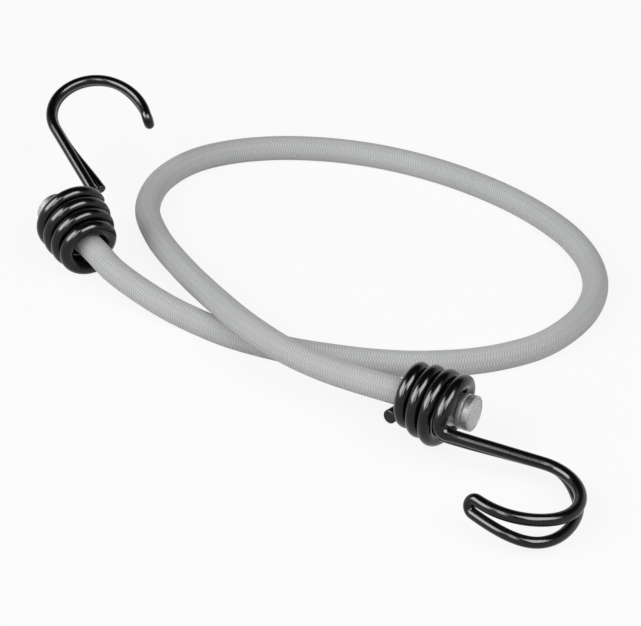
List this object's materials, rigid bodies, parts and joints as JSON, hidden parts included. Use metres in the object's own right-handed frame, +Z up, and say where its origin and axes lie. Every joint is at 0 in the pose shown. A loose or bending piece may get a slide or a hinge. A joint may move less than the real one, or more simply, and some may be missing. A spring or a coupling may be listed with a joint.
{
  "type": "bungee cord",
  "caption": "Braided elastic cord laid in a loop, with a metal cap crimped on each end and a doubled black wire hook whose tapered coil turns on the cap.",
  "frame": {"origin": "on the ground, midway between the outermost points of the two hooks and their caps", "axes": "+Z up from the ground, +Y along the longer way between the two hooks, from the hook nearest the picture's viewer to the one furthest away"},
  "size_m": [0.1766, 0.2115, 0.0323],
  "materials": {
    "sheath": "fine grey braid",
    "rubber": "bare latex strands",
    "cap": "satin plated steel",
    "wire": "gloss black coating"
  },
  "bodies": {
    "cord": {"cord_sheath": "sheath", "rubber_core": "rubber", "left_end_cap": "cap", "right_end_cap": "cap"},
    "left_hook": {"left_hook": "wire"},
    "right_hook": {"right_hook": "wire"}
  },
  "joints": [
    {"name": "left_hook_swivel", "type": "hinge", "parent": "cord", "child": "left_hook", "pos_m": [-0.0772, 0.0526, 0.012], "axis": [-0.5821, 0.8071, 0.0993], "continuous": true},
    {"name": "right_hook_swivel", "type": "hinge", "parent": "cord", "child": "right_hook", "pos_m": [0.0508, -0.0575, 0.0138], "axis": [0.8828, -0.4694, 0.0157], "continuous": true}
  ]
}
